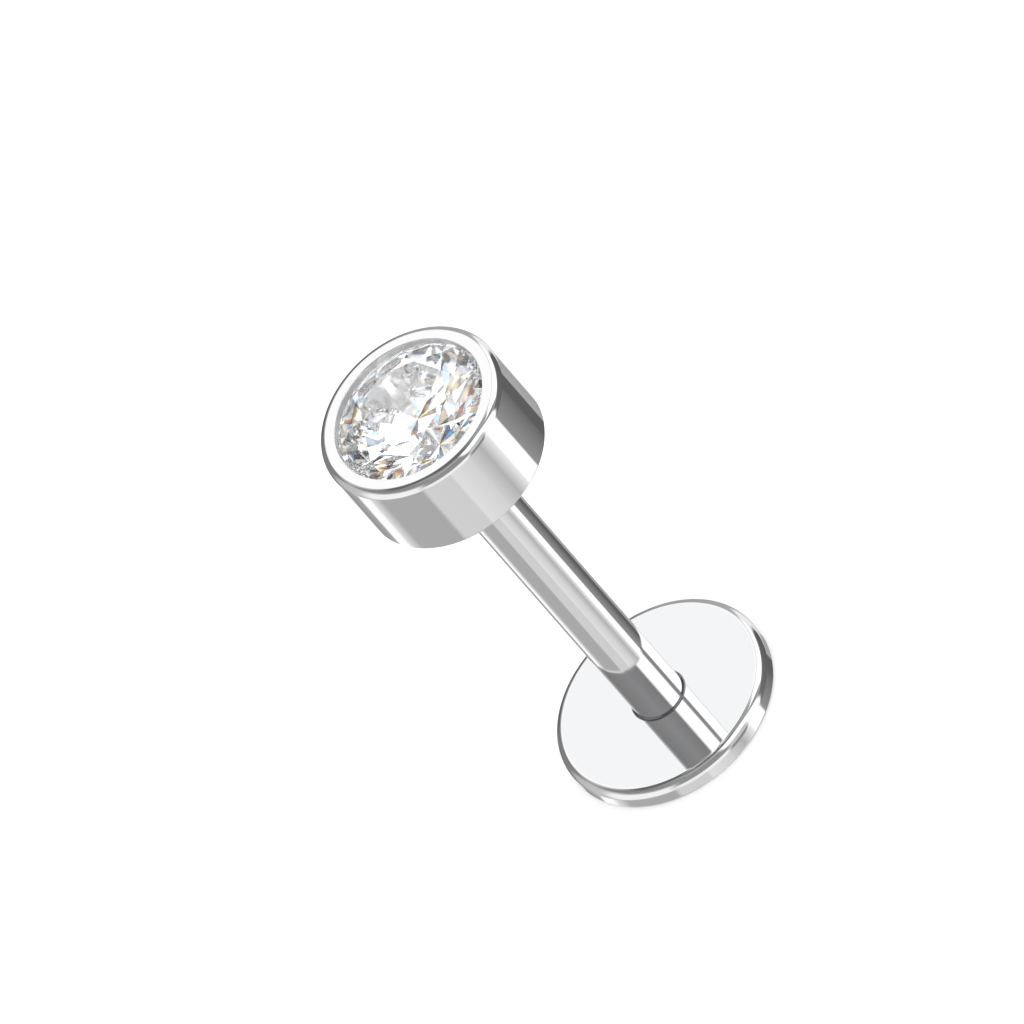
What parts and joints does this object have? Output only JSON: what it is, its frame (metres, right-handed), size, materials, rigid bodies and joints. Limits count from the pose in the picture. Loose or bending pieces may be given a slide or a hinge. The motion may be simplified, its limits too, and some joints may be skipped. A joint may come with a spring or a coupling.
{
  "type": "labret stud",
  "caption": "Flat-back labret stud: a thin round post on a flat disc, with a push-fit round bezel head that holds a clear round brilliant stone.",
  "frame": {"origin": "middle of the flat disc's back face, which the stud stands on", "axes": "+Z along the post, from the disc towards the head; the stud is round about Z, so X and Y are free"},
  "size_m": [0.005, 0.005, 0.012],
  "materials": {
    "polished_metal": "mirror-polished surgical steel",
    "clear_stone": "cut and polished clear stone"
  },
  "bodies": {
    "back": {"flat_back_post": "polished_metal"},
    "head": {"bezel_setting": "polished_metal", "round_stone": "clear_stone"}
  },
  "joints": [
    {"name": "head_pull", "type": "slide", "parent": "back", "child": "head", "axis": [0, 0, 1], "range_m": [0, 0.0065]}
  ]
}
